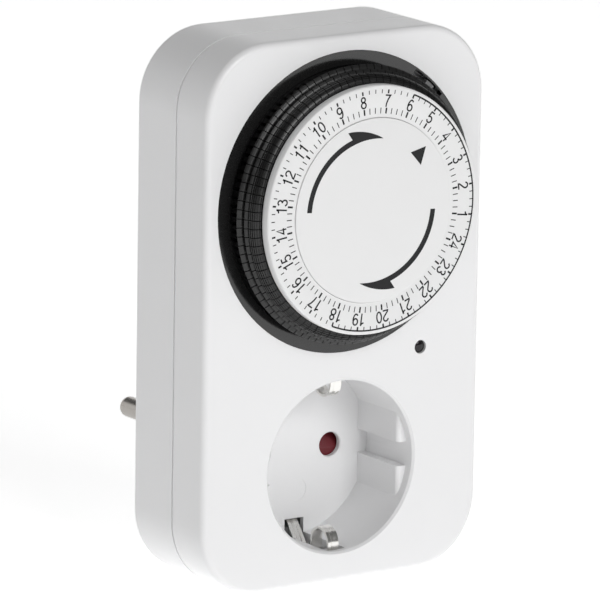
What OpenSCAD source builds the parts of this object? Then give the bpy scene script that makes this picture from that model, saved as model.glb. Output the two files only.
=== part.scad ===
// Plug in timer switch: a mechanical 24 hour timer with a segment dial and a
// side earthed socket, carried by its own plug.
//
// Every module draws in the face frame: x to the right, v upwards, and h towards
// the user from the front face of the body. The socket axis is x = 0, v = 0.
// stand_up() then turns that frame so that +Z is up, the face looks along -Y and
// the origin lies on the plug's pin face.

/* [Body] */
// Space between the collar and each side of the body
side_margin = 3.14; // [2.9:0.02:6]
// Space between the collar and the top edge of the body
top_margin = 3.64; // [3.3:0.02:8]
// Distance from the socket axis down to the bottom edge
body_drop = 26.5; // [26:0.5:30]
// Depth of the body without the pedestal
body_depth = 28; // [28:0.5:34]
// Depth of the front shell
front_depth = 12; // [11.8:0.2:13]
// Radius of the body's corners, seen from the front
corner_r = 16; // [14:0.5:18]
// Rounding of the front and rear edges
edge_r = 1.5; // [0.5:0.1:2]
// Thickness of the shell walls
wall = 2.2; // [1.8:0.1:2.6]
// Radius of the screws that hold the two shells
screw_r = 1.4; // [1.1:0.1:1.6]
// Radius of the screw heads
screw_head_r = 2.9; // [2.4:0.1:3]

/* [Socket] */
// Radius of the socket well
well_r = 19.5; // [19.4:0.1:20]
// Depth of the socket well
well_depth = 18.2; // [17.5:0.1:18.6]
// Thickness of the well's floor
floor_t = 1.4; // [1.2:0.1:1.6]
// How far the side guides stand out from the wall of the well
guide_rise = 2.5; // [2.2:0.1:2.7]
// Depth at which the side guides start
guide_start = 2.6; // [2:0.1:4]
// Width of the notch that splits each side guide
guide_notch = 5.5; // [5.2:0.1:6]
// Half the distance between the two pins
pin_x = 9.5; // [9.4:0.05:9.6]
// Radius of the entry holes for the pins
entry_r = 2.8; // [2.7:0.05:3]
// Width of the earth clips
clip_w = 2.9; // [2.4:0.1:3.4]
// How far the earth clips stand out from the wall of the well
clip_rise = 4.6; // [4.2:0.1:4.8]

/* [Plug] */
// Radius of the plug's boss
boss_r = 18.3; // [18:0.1:18.4]
// Length of the plug's boss
boss_len = 18; // [17.6:0.2:19]
// Depth of the round pedestal behind the body
pedestal_depth = 8; // [7.6:0.2:9]
// Radius of the round pedestal
pedestal_r = 22.5; // [22.2:0.1:24]
// Radius of the plug pins
pin_r = 2.4; // [2.35:0.05:2.45]
// Free length of the plug pins
pin_len = 19; // [18.5:0.5:19.5]

/* [Dial] */
// Height of the dial axis above the socket axis
dial_v = 60; // [59:0.5:66]
// Outer radius of the white hour ring
ring_r = 27.85; // [27.7:0.01:28.4]
// Width of the white hour ring
ring_w = 7.18; // [6.8:0.01:7.4]
// Front of the hour ring above the face
ring_top = 10.4; // [10.2:0.1:10.8]
// Number of switching segments
segments = 96; // [96:24:96]
// Gap between neighbouring segments, as an angle
segment_gap = 0.38; // [0.3:0.02:0.6]
// How far the segments' lower ridge stands out from the hour ring
ridge_low = 4.2; // [4:0.05:4.4]
// How far the segments' upper ridge stands out from the hour ring
ridge_up = 3.1; // [2.9:0.05:3.3]
// How far the segments' tops lie behind the front of the hour ring
segment_drop = 2.2; // [2.1:0.05:2.4]
// How far a segment is pushed in
segment_travel = 3; // [2.9:0.1:3.4]
// Distance from the hour ring to the bore of the black collar
collar_off = 2.6; // [2.5:0.05:2.8]
// Width of the black collar
collar_w = 3.36; // [3.2:0.02:3.6]
// Angle of the four o'clock mark from the right, counterclockwise
mark_four = 37.12; // [36:0.02:39]
// Radius of the spindle that carries the dial
spindle_r = 3; // [2.6:0.1:3.4]

/* [Gears] */
// Tooth module of the dial's gear and the drive pinion
dial_module = 0.75; // [0.75:0.01:0.75]
// Teeth of the dial's gear
dial_teeth = 72; // [72:1:72]
// Teeth of the drive pinion
pinion_teeth = 12; // [12:1:13]
// Tooth module of the drive wheel and the motor pinion
motor_module = 0.5; // [0.45:0.01:0.5]
// Teeth of the drive wheel
wheel_teeth = 36; // [34:1:37]
// Teeth of the motor pinion
motor_teeth = 12; // [12:1:13]
// Play between meshing teeth
backlash = 0.14; // [0.1:0.01:0.2]
// Radius of the motor can
motor_r = 18; // [17:0.5:18]

/* [Switch] */
// Travel of the plunger that the segments press
plunger_travel = 1.2; // [0.8:0.1:1.3]
// Angle of the plunger around the dial
plunger_angle = 47.85; // [47.6:0.05:48.2]
// Distance from the rocker's axis up to the plunger
rocker_arm = 9.8; // [9.5:0.1:10.4]
// Thickness of the copper alloy strips
strip = 0.6; // [0.5:0.05:0.7]

/* [Fits] */
// Radial clearance of a shaft that turns in its bore
running = 0.05; // [0.03:0.01:0.08]
// Clearance between pieces that move past each other
clear = 0.3; // [0.25:0.05:0.35]
// Clearance of a guided slide
guide = 0.08; // [0.06:0.01:0.1]

/* [Hidden] */
$fn = 64;
over = 1;
pieces_per_group = 4;
groups = segments / pieces_per_group;
hours = [for (hour = [1 : groups]) hour];
function group_name(hour) = str("tappets_hour_", hour < 10 ? "0" : "", hour);

// Levels along h, from the user to the wall
back_level = -body_depth;
inner_back = back_level + wall;
shelf_level = back_level - pedestal_depth + wall;
plug_level = back_level - pedestal_depth - boss_len;
well_back = -well_depth - floor_t;
face_y = plug_level;

// Radii of the dial, and the body outline round it
head_in = ring_r + 0.05;
ring_bore = ring_r - ring_w;
ridge_low_r = head_in + ridge_low;
ridge_up_r = head_in + ridge_up;
collar_bore = head_in + collar_off;
collar_r = collar_bore + collar_w;
body_w = 2 * (collar_r + side_margin);
body_h = body_drop + dial_v + collar_r + top_margin;
half_w = body_w / 2;
half_h = body_h / 2;
body_mid = half_h - body_drop;
boss_inset = corner_r - 10 / sqrt(2);
boss_places = [for (x = [-1, 1], v = [-1, 1]) [x * (half_w - boss_inset), body_mid + v * (half_h - boss_inset)]];
tube_r = 3.2;
tongue = 2;
seam = 0.3;

// Socket well
guide_half = well_r - guide_rise;
guide_end = sqrt(pow(well_r, 2) - pow(guide_half, 2));
entry_bevel = 0.25;
slot_half = clip_w / 2 + 1.12;
window_top = -9.2;
groove_top = -1.8;
mark_at = [0.6, -9.3];
mark_r = 2.55;

// Collar, ledge and slot for the plunger
collar_t = 2;
ledge_t = 1.6;
ledge_r = collar_bore + 1.1;
slot_from = plunger_angle - 7.35;
slot_to = plunger_angle + 9.15;
slot_r = collar_bore + 3;

// Dial drum
head_top = ring_top - segment_drop;
head_low = segment_travel + 0.4;
dial_gear_r = dial_module * dial_teeth / 2;
comb_r = collar_bore - clear;
drum_r = head_in - 0.4;
drum_bore = min(dial_gear_r - 2.2, drum_r - 2.7);
drum_back = -13;
gear_top = -10.2;
comb_top = -1.2;
comb_low = -7;
stem_w = 1.1;
stem_in = head_in + 0.2;
stem_t = 1.3;
stem_low = comb_low + 0.6;
web_top = 6.6;
web_t = 1.6;
hub_r = 5.5;
ring_t = 1.6;
ring_seat = ring_top - ring_t;
disc_gap = 0.27;
disc_top = ring_top + clear;
disc_low = ring_seat + clear;
pitch_angle = 360 / segments;
head_angle = pitch_angle - segment_gap;

// Gear plate and train
plate_t = 1.2;
plate_back = drum_back - 4.9;
plate_front = plate_back + plate_t;
drive_angle = -125;
drive_far = dial_module * (dial_teeth + pinion_teeth) / 2;
drive_at = [drive_far * cos(drive_angle), dial_v + drive_far * sin(drive_angle)];
motor_dir = 70;
motor_far = motor_module * (wheel_teeth + motor_teeth) / 2;
motor_pinion_at = drive_at + motor_far * [cos(motor_dir), sin(motor_dir)];
motor_at = [26 - half_w, dial_v];
motor_lug_far = motor_r + 3;
motor_lug_angles = [150, -30];
motor_lugs = [for (a = motor_lug_angles) motor_at + motor_lug_far * [cos(a), sin(a)]];
motor_back = inner_back + clear;
gearcase_back = plate_back - 2;
plate_left = 4 - half_w;
plate_right = 15;
plate_low = dial_v - 30;
plate_high = dial_v + 23;
neck_left = plate_left + 11;
neck_top = dial_v + 31;
post_in = 3.5;
posts = [
    [plate_left + post_in, plate_low + 5], [plate_left + post_in, plate_high - 3],
    [plate_right - post_in, neck_top - 3], [plate_right - post_in, plate_low + 6]
];
peg_r = 1.2;
wheel_low = plate_front + clear;
wheel_t = 1.9;
arbor_r = 1;
pinion_low = drum_back - clear;
pinion_top = gear_top - clear;

// Switch
plunger_top = 0.2;
plunger_w = 2.4;
plunger_t = 1.8;
plunger_foot = -16.5;
foot_top = -front_depth + 0.2;
chute_low = foot_top + clear;
plunger_at = collar_bore + 1.6;
plunger_x = plunger_at * cos(plunger_angle);
plunger_v = dial_v + plunger_at * sin(plunger_angle);
rocker_v = plunger_v - rocker_arm;
rocker_tail = 9.2;
rocker_w = 4;
rocker_x = plunger_x - rocker_w / 2;
rocker_h = -20;
nose_r = 0.8;
nose_up_h = plunger_foot - clear - nose_r;
nose_low_v = rocker_v - rocker_tail;
nose_low_h = rocker_h + 0.3;
rocker_pin_r = 1;
ear_t = 1.8;
leaf_t = 0.4;
leaf_back = nose_low_h + nose_r + clear;
leaf_root_v = rocker_v - 28;
leaf_root_h = leaf_back + leaf_t / 2;
contact_v = rocker_v - 8;
rivet_r = 1.4;
rivet_t = 0.5;
rocker_turn = plunger_travel / rocker_arm * 180 / PI;
nose_rise = rocker_tail * sin(rocker_turn) + (nose_low_h - rocker_h) * (cos(rocker_turn) - 1);
leaf_turn = atan(nose_rise / (nose_low_v - leaf_root_v));
contact_rise = (contact_v - leaf_root_v) * sin(leaf_turn);
fixed_level = leaf_back + leaf_t + rivet_t + contact_rise + 0.08;

// Contacts and shutter
block_front = well_back - 3.2;
shutter_front = well_back - clear;
shutter_back = block_front + clear;
pivot_r = 2;
block_w = 33;
block_h = 22;
tulip_in = pin_r + 0.1;
tulip_out = tulip_in + strip;
pocket = 3.9;
tulip_back = -well_depth - 19.3;
tulip_front = block_front - 1;
pad_r = 3.7;
tail_w = 4;
stub_r = 1.5;
stub_shoulder = plug_level + 7.4;
cavity_w = 14.5;
cavity_h = 12.6;
cavity_r = 6;
groove_floor = 15.9;
earth_v = 16.2;
plug_wall = 3;
neck_r = pin_r - 0.3;
relief_r = pin_r + 1.2;
relief_t = 0.3;
tail_low = block_front - 1.4;
tail_level = block_front + 0.5;
tail_turn_v = block_h / 2 + 13;
tail_step = 2.9;

// Lamp
lamp_at = [half_w - 16.1, dial_v - 35.2];
lens_r = 1.5;
lens_flange_r = 2.5;
lamp_r = 2.1;
lamp_low = -12;

// ---------------------------------------------------------------- helpers

module stand_up() {
    translate([0, face_y, 0]) rotate([90, 0, 0]) children();
}

module at_dial() {
    translate([0, dial_v, 0]) children();
}

// A prism of a flat outline between two levels
module between(low, high) {
    translate([0, 0, low]) linear_extrude(high - low) children();
}

// A tube or a disc between two levels
module ring(r_in, r_out, low, high) {
    difference() {
        translate([0, 0, low]) cylinder(r = r_out, h = high - low);
        if (r_in > 0)
            translate([0, 0, low - over]) cylinder(r = r_in, h = high - low + 2 * over);
    }
}

// A box from one corner to the other
module block(from, to) {
    translate(from) cube(to - from);
}

// A prism whose outline is drawn in v and h and that runs along x
module across(x_from, x_to) {
    translate([x_from, 0, 0]) rotate([90, 0, 90]) linear_extrude(x_to - x_from) children();
}

// A sector of a ring around the dial
module sector(r_in, r_out, low, high, from, to) {
    rotate_extrude(angle = to - from, start = from)
        translate([r_in, low]) square([r_out - r_in, high - low]);
}

// Draws on the right, or mirrored on the left
module on_side(side) {
    if (side > 0)
        children();
    else
        mirror([1, 0, 0]) children();
}

// The edge of a bent strip at one point of its path, a distance t to the left
function edge_of(path, i, t) =
    let (
        before = i == 0 ? path[1] - path[0] : path[i] - path[i - 1],
        after = i == len(path) - 1 ? before : path[i + 1] - path[i],
        a = [-before[1], before[0]] / norm(before),
        b = [-after[1], after[0]] / norm(after)
    )
    path[i] + t * (a + b) / (1 + a * b);

// The outline of a strip that is bent along a path
module bent_strip(path, t) {
    last = len(path) - 1;
    polygon(concat(
        [for (i = [0 : last]) edge_of(path, i, t / 2)],
        [for (i = [0 : last]) edge_of(path, last - i, -t / 2)]
    ));
}

module rounded_rect(w, h, r) {
    square([w - 2 * r, h], center = true);
    square([w, h - 2 * r], center = true);
    for (x = [-1, 1], y = [-1, 1])
        translate([x * (w / 2 - r), y * (h / 2 - r)]) circle(r);
}

module body_outline(inset) {
    translate([0, body_mid])
        rounded_rect(body_w - 2 * inset, body_h - 2 * inset, corner_r - inset);
}

// What the rounding takes off along the front edge of the body
module edge_waste() {
    translate([0, body_mid, 0])
        for (side = [0 : 3]) {
            far = side % 2 == 0 ? half_w : half_h;
            long = side % 2 == 0 ? half_h : half_w;
            rotate(90 * side) {
                translate([far - edge_r, long - corner_r, -edge_r])
                    rotate([90, 0, 0]) linear_extrude(2 * (long - corner_r)) edge_section();
                translate([far - corner_r, long - corner_r, -edge_r])
                    rotate_extrude(angle = 90) translate([corner_r - edge_r, 0]) edge_section();
            }
        }
}

module edge_section() {
    difference() {
        square(edge_r + over);
        circle(edge_r);
    }
}

// One half of the body as an open tray, its floor at level 0 and its rim below
module tray(depth) {
    difference() {
        between(-depth, 0) body_outline(0);
        edge_waste();
        between(-depth - over, -wall) body_outline(wall);
        between(-depth - over, -depth + seam) difference() {
            body_outline(-over);
            body_outline(seam);
        }
    }
}

function inv(a) = tan(a) * 180 / PI - a;

// Involute spur gear outline with stub teeth, one tooth pointing right
module gear(m, teeth) {
    pressure = 25;
    pitch_r = m * teeth / 2;
    base_r = pitch_r * cos(pressure);
    root_r = pitch_r - 1.05 * m;
    tip_r = pitch_r + 0.8 * m;
    flank = [root_r, max(base_r, root_r + 0.25 * m), pitch_r, pitch_r + 0.45 * m, tip_r];
    steps = len(flank) - 1;
    play = backlash / 4 / pitch_r * 180 / PI;
    half = [for (r = flank) 90 / teeth - play + inv(pressure) - inv(acos(min(1, base_r / r)))];
    polygon([
        for (tooth = [0 : teeth - 1], i = [0 : 2 * steps + 1])
            let (
                rising = i <= steps,
                j = rising ? i : 2 * steps + 1 - i,
                a = 360 * tooth / teeth + (rising ? -half[j] : half[j])
            )
            flank[j] * [cos(a), sin(a)]
    ]);
}

// ---------------------------------------------------------------- shells

module front_housing() color("white") stand_up() {
    difference() {
        union() {
            tray(front_depth);
            between(well_back, -wall / 2) circle(well_r + wall);
            at_dial() ring(0, collar_r + 1.1, -collar_t - ledge_t, -wall / 2);
            for (place = boss_places)
                translate(place) ring(0, tube_r, -front_depth, -wall / 2);
            translate(lamp_at) ring(0, lens_flange_r + 0.9, -8, -wall / 2);
            plunger_chute();
            for (side = [0, 180])
                rotate(side)
                    block([-slot_half - 1, well_r, window_top - 1], [slot_half + 1, well_r + wall + 0.8, -wall / 2]);
        }
        between(-front_depth - over, -front_depth + tongue) difference() {
            body_outline(wall / 2);
            body_outline(wall + 0.5);
            for (place = boss_places) translate(place) circle(tube_r);
        }
        at_dial() {
            between(-collar_t - ledge_t - over, over) circle(ledge_r);
            between(-collar_t, over) circle(collar_r + running);
            sector(collar_bore, slot_r, -collar_t - ledge_t - over, 0, slot_from, slot_to);
        }
        between(-well_depth, over) circle(well_r);
        translate([0, 0, -0.5]) cylinder(r1 = well_r, r2 = well_r + 0.5, h = 0.5);
        for (side = [-1, 1]) {
            translate([side * pin_x, 0]) between(well_back - over, 0) circle(entry_r);
            translate([side * pin_x, 0, -well_depth - entry_bevel])
                cylinder(r1 = entry_r, r2 = entry_r + entry_bevel, h = entry_bevel);
        }
        for (side = [0, 180])
            rotate(side) {
                block([-slot_half, earth_v - 0.35, well_back - over], [slot_half, well_r + wall + over, window_top]);
                block([-slot_half, earth_v - 0.35, window_top - 0.1], [slot_half, well_r + wall - 0.5, groove_top]);
            }
        translate(mark_at) between(-well_depth - 0.12, 0) circle(mark_r);
        for (place = boss_places)
            translate(place) between(-front_depth - over, -3.5) circle(screw_r);
        translate(lamp_at) {
            between(-8 - over, -1.2) circle(lens_flange_r + running);
            between(-wall, over) circle(lens_r + running);
        }
    }
    side_guides();
}

// The two raised blocks at the sides of the well, each split by a notch
module side_guides() {
    round_r = 1;
    depth = well_depth - guide_start;
    for (side = [0, 180])
        rotate(side)
            difference() {
                intersection() {
                    translate([0, well_r, 0]) rotate([90, 0, 0])
                        linear_extrude(2 * well_r)
                            translate([guide_half, -well_depth]) {
                                translate([0, -0.2]) square([guide_rise + over, depth - round_r + 0.2]);
                                translate([round_r, 0]) square([guide_rise + over, depth]);
                                translate([round_r, depth - round_r]) circle(round_r);
                            }
                    between(-well_depth - 0.2, 0) circle(well_r + 0.5);
                }
                block([guide_half - over, -guide_notch / 2, -well_depth - over], [well_r, guide_notch / 2, 0]);
            }
}

// Three walls behind the collar that guide the plunger
module plunger_chute() {
    inner = plunger_at - plunger_t / 2 - guide;
    outer = plunger_at + plunger_t / 2 + guide;
    half = plunger_w / 2 + guide;
    at_dial() rotate(plunger_angle) difference() {
        block([inner - 0.1, -half - 1, chute_low], [outer + 1, half + 1, -collar_t - ledge_t + 0.2]);
        block([inner - over, -half, chute_low - over], [outer, half, -collar_t]);
    }
}

module boss_outline() {
    flat = guide_half - clear;
    rib = guide_notch / 2 - clear;
    difference() {
        circle(boss_r);
        for (side = [0, 180])
            rotate(side)
                for (top = [0, 1])
                    mirror([0, top])
                        translate([flat, rib]) square([boss_r, guide_end + clear - rib]);
        for (side = [0, 180])
            rotate(side) translate([-3, groove_floor]) square([6, boss_r]);
    }
}

module rear_housing() color("white") stand_up() {
    difference() {
        union() {
            translate([0, 0, back_level]) mirror([0, 0, 1]) tray(body_depth - front_depth);
            between(-front_depth - wall, -front_depth + tongue - 0.2) difference() {
                body_outline(wall / 2 + guide);
                body_outline(wall);
                for (place = boss_places) translate(place) circle(tube_r + guide);
            }
            for (place = boss_places)
                translate(place) ring(0, screw_head_r + 1, back_level + edge_r, -front_depth);
            ring(0, pedestal_r, back_level - pedestal_depth, inner_back);
            between(plug_level, back_level - pedestal_depth + over) boss_outline();
            for (place = posts)
                translate(place) {
                    ring(0, 2 * peg_r, back_level + wall / 2, plate_back);
                    ring(0, peg_r, back_level + wall / 2, plate_front + clear / 2);
                }
            for (x = [rocker_x - clear - ear_t, rocker_x + rocker_w + clear])
                block([x, rocker_v - 2.5, back_level + wall / 2], [x + ear_t, rocker_v + 2.5, rocker_h + 2]);
        }
        between(shelf_level, inner_back + over) circle(pedestal_r - wall);
        between(plug_level + plug_wall, shelf_level + over) rounded_rect(2 * cavity_w, 2 * cavity_h, cavity_r);
        for (side = [-1, 1])
            translate([side * pin_x, 0]) {
                between(plug_level - over, plug_level + plug_wall + over) circle(neck_r);
                between(plug_level - over, plug_level + relief_t) circle(relief_r);
            }
        for (side = [0, 180])
            rotate(side)
                block([-2.3, groove_floor, back_level - pedestal_depth - over], [2.3, earth_v + strip + 0.2, shelf_level + over]);
        translate([0, 0, plug_level]) rotate_extrude()
            polygon([[boss_r - 0.7, -over], [boss_r + over, -over], [boss_r + over, 0.7], [boss_r, 0.7], [boss_r - 0.7, 0]]);
        for (place = boss_places)
            translate(place) {
                between(back_level - over, back_level + 6) circle(screw_head_r + guide);
                between(back_level, -front_depth + over) circle(screw_r + 0.2);
            }
        across(rocker_x - 2 * ear_t, rocker_x + rocker_w + 2 * ear_t)
            translate([rocker_v, rocker_h]) circle(rocker_pin_r);
    }
}

module housing_screws() color("silver") stand_up() {
    head_t = 2.2;
    for (place = boss_places)
        translate(place) difference() {
            union() {
                ring(0, screw_head_r, back_level + 6 - head_t, back_level + 6);
                ring(0, screw_r, back_level + 6 - 0.2, -4.5);
            }
            for (turn = [0, 90])
                rotate(turn) block([-2, -0.35, back_level], [2, 0.35, back_level + 6 - head_t + 1]);
        }
}

// ---------------------------------------------------------------- dial

module dial_collar() color("dimgray") stand_up() at_dial() difference() {
    rotate_extrude()
        polygon([
            [collar_bore, -collar_t], [collar_r, -collar_t], [collar_r, 0],
            [collar_bore + 0.25, 0], [collar_bore, -0.25]
        ]);
    sector(collar_bore - over, slot_r, -collar_t - over, over, slot_from, slot_to);
}

module centre_disc() color("white") stand_up() at_dial() difference() {
    disc_r = ring_bore - disc_gap;
    union() {
        rotate_extrude()
            polygon([
                [0, disc_low], [disc_r, disc_low], [disc_r, disc_top - 0.3],
                [disc_r - 0.3, disc_top], [0, disc_top]
            ]);
        ring(0, spindle_r + 2, web_top + clear, disc_low + 0.1);
    }
    between(web_top, disc_low) circle(spindle_r * 0.6);
}

module hour_ring() color("white") stand_up() at_dial() rotate_extrude()
    polygon([
        [ring_bore, ring_seat], [ring_r - 0.85, ring_seat], [ring_r - 0.85, head_top + 0.1],
        [ring_r, head_top + 0.1], [ring_r, ring_top - 0.2], [ring_r - 0.2, ring_top],
        [ring_bore + 0.2, ring_top], [ring_bore, ring_top - 0.2]
    ]);

module dial_drum() color([0.12, 0.12, 0.12]) stand_up() at_dial() {
    ring(drum_bore, drum_r, gear_top, head_top);
    ring(drum_bore, ring_r - 0.9, head_top - 0.2, ring_seat);
    ring(ring_bore + 0.8, drum_bore + 0.2, web_top - web_t, ring_seat);
    ring(spindle_r + running, ring_bore + 1, web_top - web_t, web_top);
    ring(spindle_r + running, hub_r, drum_back + 0.4, web_top - 0.2);
    for (rib = [0 : 5])
        rotate(60 * rib + 30)
            block([hub_r - 0.3, -0.6, 0], [drum_bore + 0.3, 0.6, web_top - web_t + 0.2]);
    between(drum_back, gear_top + 0.2) difference() {
        rotate(drive_angle) gear(dial_module, dial_teeth);
        circle(drum_bore);
    }
    between(comb_low, comb_top) difference() {
        circle(comb_r);
        circle(drum_r - 0.2);
        for (i = [0 : segments - 1])
            rotate(mark_four + pitch_angle * (i + 0.5))
                translate([stem_in - guide, -stem_w / 2 - guide])
                    square([stem_t + 2 * guide, stem_w + 2 * guide]);
    }
}

// One switching segment: a ridged head on a stem that slides in the drum
module tappet() {
    groove_r = ridge_up_r - 0.55;
    tread = 0.45;
    notch = 0.13;
    rotate_extrude(angle = head_angle, start = -head_angle / 2)
        polygon(concat(
            [
                [head_in, head_low], [ridge_low_r - 0.2, head_low], [ridge_low_r, head_low + 0.2],
                [ridge_low_r, head_low + 1.2], [ridge_up_r, head_low + 1.95], [groove_r, head_low + 1.95],
                [groove_r, head_low + 2.3], [ridge_up_r, head_low + 2.5], [ridge_up_r, head_top - 1.3],
                [ridge_up_r - 0.8, head_top - 0.5], [ridge_up_r - 1, head_top]
            ],
            [for (i = [0 : 3], j = [0 : 2]) [ridge_up_r - 1.25 - tread * i - notch * j, head_top - (j == 1 ? 0.18 : 0)]],
            [[head_in, head_top]]
        ));
    block([stem_in, -stem_w / 2, stem_low], [stem_in + stem_t, stem_w / 2, head_low + 0.2]);
}

// The four segments of one hour
module tappets(hour) color([0.1, 0.1, 0.1]) stand_up() at_dial()
    for (quarter = [0 : pieces_per_group - 1])
        rotate(mark_four + 15 * (hour - 4) + pitch_angle * (quarter + 0.5)) tappet();

module dial_spindle() color("silver") stand_up() at_dial() {
    ring(0, spindle_r * 0.7, plate_back, plate_front + 0.2);
    ring(0, spindle_r + 1.5, plate_front, drum_back + 0.1);
    ring(0, spindle_r, drum_back, web_top + clear);
    ring(0, spindle_r * 0.6, web_top, disc_low);
}

// ---------------------------------------------------------------- drive

module plate_part(left, low, high) {
    translate([(left + plate_right) / 2, (low + high) / 2]) rounded_rect(plate_right - left, high - low, 2);
}

module gear_plate() color("lightsteelblue") stand_up() between(plate_back, plate_front) difference() {
    union() {
        plate_part(plate_left, plate_low, plate_high);
        plate_part(neck_left, plate_high - 6, neck_top);
    }
    translate([0, dial_v]) circle(spindle_r * 0.7);
    translate(drive_at) circle(arbor_r);
    translate(motor_pinion_at) circle(arbor_r + 0.8);
    for (place = posts) translate(place) circle(peg_r);
    for (place = motor_lugs) translate(place) circle(1.1);
}

module drive_gear() color("ivory") stand_up() translate(drive_at) difference() {
    union() {
        between(wheel_low, wheel_low + wheel_t) rotate(motor_dir) gear(motor_module, wheel_teeth);
        ring(0, 3.4, wheel_low, pinion_low + 0.1);
        between(pinion_low, pinion_top)
            rotate(drive_angle + 180 + 180 / pinion_teeth) gear(dial_module, pinion_teeth);
    }
    between(wheel_low - over, pinion_top + over) circle(arbor_r + running);
}

module drive_gear_arbor() color("silver") stand_up() translate(drive_at) {
    ring(0, arbor_r, plate_back, pinion_top + 0.2);
}

module motor_pinion() color("goldenrod") stand_up() translate(motor_pinion_at) {
    between(wheel_low - 0.1, wheel_low + wheel_t + 0.3)
        rotate(motor_dir + 180 + 180 / motor_teeth) gear(motor_module, motor_teeth);
    ring(0, arbor_r - 0.1, plate_back - 1.4, wheel_low);
}

module motor_gearcase() color("gainsboro") stand_up() difference() {
    union() {
        translate(motor_at) ring(0, motor_r - 2, gearcase_back, plate_back);
        for (a = motor_lug_angles)
            translate(motor_at) rotate(a) {
                block([0, -2.6, gearcase_back], [motor_lug_far, 2.6, plate_back]);
                translate([motor_lug_far, 0]) ring(0, 3, gearcase_back, plate_back);
            }
    }
    translate(motor_pinion_at) between(plate_back - 1.5, plate_back + over) circle(arbor_r - 0.1 + running);
    for (place = motor_lugs) translate(place) between(gearcase_back - over, plate_back + over) circle(1);
}

module motor_can() color("silver") stand_up() translate(motor_at)
    rotate_extrude()
        polygon([
            [0, motor_back], [motor_r - 0.6, motor_back], [motor_r, motor_back + 0.6],
            [motor_r, gearcase_back], [0, gearcase_back]
        ]);

module motor_screws() color("silver") stand_up()
    for (place = motor_lugs)
        translate(place) {
            ring(0, 1.9, plate_front, plate_front + 1);
            ring(0, 1, gearcase_back + 0.2, plate_front + 0.2);
        }

// ---------------------------------------------------------------- switch

module switch_plunger() color([0.2, 0.2, 0.2]) stand_up() at_dial() rotate(plunger_angle) {
    inner = plunger_at - plunger_t / 2;
    outer = plunger_at + plunger_t / 2;
    block([inner, -plunger_w / 2, foot_top - 0.2], [outer, plunger_w / 2, plunger_top]);
    block([inner - 0.9, -2, plunger_foot], [outer + 0.9, 2, foot_top]);
}

module switch_rocker() color("ivory") stand_up() difference() {
    side = [rocker_x, rocker_x + rocker_w];
    union() {
        across(side[0], side[1]) translate([rocker_v, rocker_h]) circle(2.2);
        across(side[0], side[1]) translate([plunger_v, nose_up_h]) circle(nose_r);
        across(side[0], side[1])
            polygon([
                [rocker_v, rocker_h + 2], [plunger_v, nose_up_h + nose_r * 0.9],
                [plunger_v, nose_up_h - nose_r], [rocker_v, rocker_h - 2]
            ]);
        across(side[0], side[1]) translate([nose_low_v, nose_low_h]) circle(nose_r);
        across(side[0], side[1])
            polygon([
                [rocker_v, rocker_h - 2], [nose_low_v, nose_low_h - nose_r],
                [nose_low_v, nose_low_h + nose_r * 0.6], [rocker_v - 6, nose_low_h + 0.1],
                [rocker_v - 1.8, rocker_h + 1]
            ]);
    }
    across(side[0] - over, side[1] + over) translate([rocker_v, rocker_h]) circle(rocker_pin_r + running);
}

module rocker_pin() color("silver") stand_up()
    across(rocker_x - clear - ear_t, rocker_x + rocker_w + clear + ear_t)
        translate([rocker_v, rocker_h]) circle(rocker_pin_r);

module moving_contact() color("darkgoldenrod") stand_up() {
    across(rocker_x + 0.2, rocker_x + rocker_w - 0.2) {
        translate([leaf_root_v, leaf_root_h]) circle(0.6);
        translate([leaf_root_v, leaf_back]) square([contact_v + 2 - leaf_root_v, leaf_t]);
    }
    translate([rocker_x + rocker_w / 2, contact_v, 0])
        ring(0, rivet_r, leaf_back + 0.1, leaf_back + leaf_t + rivet_t);
}

module fixed_contact() color("darkgoldenrod") stand_up() {
    post_x = rocker_x + rocker_w + 2.5;
    tongue_level = fixed_level + rivet_t;
    block([post_x - 1, contact_v - 8, inner_back + strip], [post_x + 3, contact_v - 4, inner_back + 2 * strip]);
    block([post_x, contact_v - 8, inner_back + strip], [post_x + strip, contact_v + 2, tongue_level + strip]);
    block([rocker_x + 0.3, contact_v - 2, tongue_level], [post_x + strip, contact_v + 2, tongue_level + strip]);
    translate([rocker_x + rocker_w / 2, contact_v, 0])
        ring(0, rivet_r, fixed_level, tongue_level + 0.1);
}

// ---------------------------------------------------------------- conductors

// The sprung sleeve that grips a plug pin, split on the side of the socket axis
module tulip(side) {
    translate([side * pin_x, 0])
        on_side(side) {
            between(tulip_back, tulip_front) difference() {
                circle(tulip_out);
                circle(tulip_in);
                translate([-2 * tulip_out, -0.5]) square([2 * tulip_out, 1]);
            }
            block([tulip_out - 0.3, -2, tulip_back], [pocket, 2, tulip_front]);
        }
}

module live_socket_contact() color("goldenrod") stand_up() {
    left = pin_x - tail_w / 2;
    right = pin_x + tail_w / 2;
    step_v = block_h / 2 + tail_step;
    up_x = rocker_x;
    tulip(1);
    block([left, tulip_in + 0.05, tail_low], [right, step_v + strip, tail_low + strip]);
    block([left, step_v, tail_low], [right, step_v + strip, tail_level + strip]);
    block([left, step_v, tail_level], [right, tail_turn_v + tail_w, tail_level + strip]);
    block([left, tail_turn_v, tail_level], [up_x + rocker_w, tail_turn_v + tail_w, tail_level + strip]);
    block([up_x, tail_turn_v, tail_level], [up_x + rocker_w, leaf_root_v + 1, tail_level + strip]);
    difference() {
        block([up_x, leaf_root_v - 1.4, tail_level], [up_x + rocker_w, leaf_root_v + 0.3, leaf_root_h + 1.2]);
        across(up_x - over, up_x + rocker_w + over) {
            translate([leaf_root_v, leaf_root_h]) circle(0.6 + running);
            translate([leaf_root_v, leaf_root_h - 0.5]) square([over, 1]);
        }
    }
}

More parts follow.
